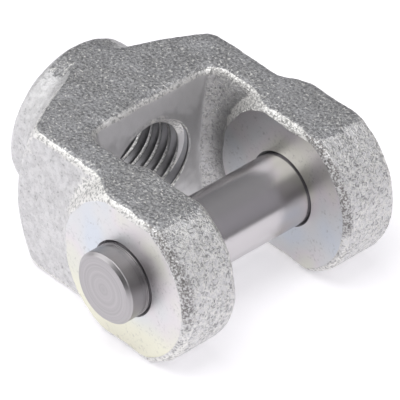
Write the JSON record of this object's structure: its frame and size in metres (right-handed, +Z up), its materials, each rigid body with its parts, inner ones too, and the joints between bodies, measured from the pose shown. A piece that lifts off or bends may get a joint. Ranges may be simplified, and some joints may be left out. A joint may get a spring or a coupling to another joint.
{
  "type": "tension rod clevis",
  "caption": "Cast fork end with a threaded hub, faced ears and a plain cross pin that joins a tension rod to a gusset plate.",
  "frame": {"origin": "point where the cross pin's axis meets the rod thread's axis", "axes": "+X along the rod thread towards the fork's mouth, +Y along the cross pin, +Z up from the flat lower face"},
  "size_m": [0.075, 0.077, 0.039],
  "materials": {
    "cast_fork": "cast skin, galvanised, with faced ears and a cut thread",
    "turned_pin": "turned, bright zinc plated"
  },
  "bodies": {
    "clevis_body": {"clevis_body": "cast_fork"},
    "clevis_pin": {"clevis_pin": "turned_pin"}
  },
  "joints": [
    {"name": "pin_slide", "type": "slide", "parent": "clevis_body", "child": "clevis_pin", "axis": [0, 1, 0], "range_m": [-0.075, 0.075]}
  ]
}
